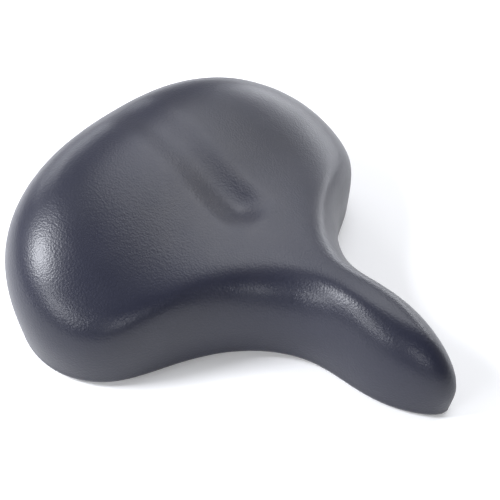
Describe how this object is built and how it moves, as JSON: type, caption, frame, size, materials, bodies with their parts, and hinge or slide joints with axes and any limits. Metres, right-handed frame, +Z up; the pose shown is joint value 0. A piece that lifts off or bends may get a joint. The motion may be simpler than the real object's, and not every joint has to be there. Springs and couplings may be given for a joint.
{
  "type": "bicycle saddle",
  "caption": "Wide padded comfort bicycle saddle with a relief channel, a moulded base pan, rear coil springs on a hinged rail frame and a seat-post clamp.",
  "frame": {"origin": "centre of the footprint on the surface the saddle stands on, in the plane of the hem's lowest points", "axes": "+X towards the nose, +Y to the rider's left, +Z up; the saddle is symmetric about the XZ plane"},
  "size_m": [0.2755, 0.2482, 0.0945],
  "materials": {
    "vinyl_cover": "semi-gloss grained vinyl",
    "cushion_foam": "matt open-cell foam",
    "black_plastic": "satin moulded polypropylene",
    "black_steel": "satin black enamel",
    "spring_steel": "gloss black enamel",
    "clamp_steel": "dull zinc plate",
    "zinc_steel": "bright zinc plate",
    "staple_steel": "galvanised wire"
  },
  "bodies": {
    "seat": {"cover_skin": "vinyl_cover", "foam_cushion": "cushion_foam", "base_pan": "black_plastic", "hem_staples": "staple_steel", "tee_nuts": "zinc_steel", "spring_top_bolts": "zinc_steel", "nose_bracket": "black_steel", "nose_bracket_screws": "zinc_steel", "pivot_bolt": "zinc_steel", "pivot_nut": "zinc_steel", "spring_cup_top_left": "black_steel", "spring_cup_top_right": "black_steel", "spring_left": "spring_steel", "spring_right": "spring_steel"},
    "rail_frame": {"rail_left": "black_steel", "rail_right": "black_steel", "pivot_sleeve": "black_steel", "rear_bridge": "black_steel", "spring_cup_bottom_left": "black_steel", "spring_cup_bottom_right": "black_steel", "spring_bottom_bolts": "zinc_steel", "spring_bottom_nuts": "zinc_steel"},
    "clamp_carriage": {"clamp_inner_plate_left": "clamp_steel", "clamp_inner_plate_right": "clamp_steel", "clamp_outer_plate_left": "clamp_steel", "clamp_outer_plate_right": "clamp_steel", "clamp_stud": "zinc_steel", "clamp_nut_left": "zinc_steel", "clamp_nut_right": "zinc_steel", "clamp_washers": "zinc_steel"},
    "post_collar": {"collar_strap": "clamp_steel", "serrated_disc_left": "clamp_steel", "serrated_disc_right": "clamp_steel"}
  },
  "joints": [
    {"name": "suspension", "type": "hinge", "parent": "seat", "child": "rail_frame", "pos_m": [0.07802, 0, 0.0225], "axis": [0, 1, 0], "range_deg": [0, 3], "stiffness_Nm_per_rad": 2100, "springref_deg": -0.52, "deforming": ["spring_left", "spring_right"]},
    {"name": "fore_aft", "type": "slide", "parent": "rail_frame", "child": "clamp_carriage", "axis": [1, 0, 0], "range_m": [-0.013, 0.013]},
    {"name": "tilt", "type": "hinge", "parent": "clamp_carriage", "child": "post_collar", "pos_m": [-0.00449, 0, 0.015], "axis": [0, 1, 0], "range_deg": [-15, 15]}
  ]
}
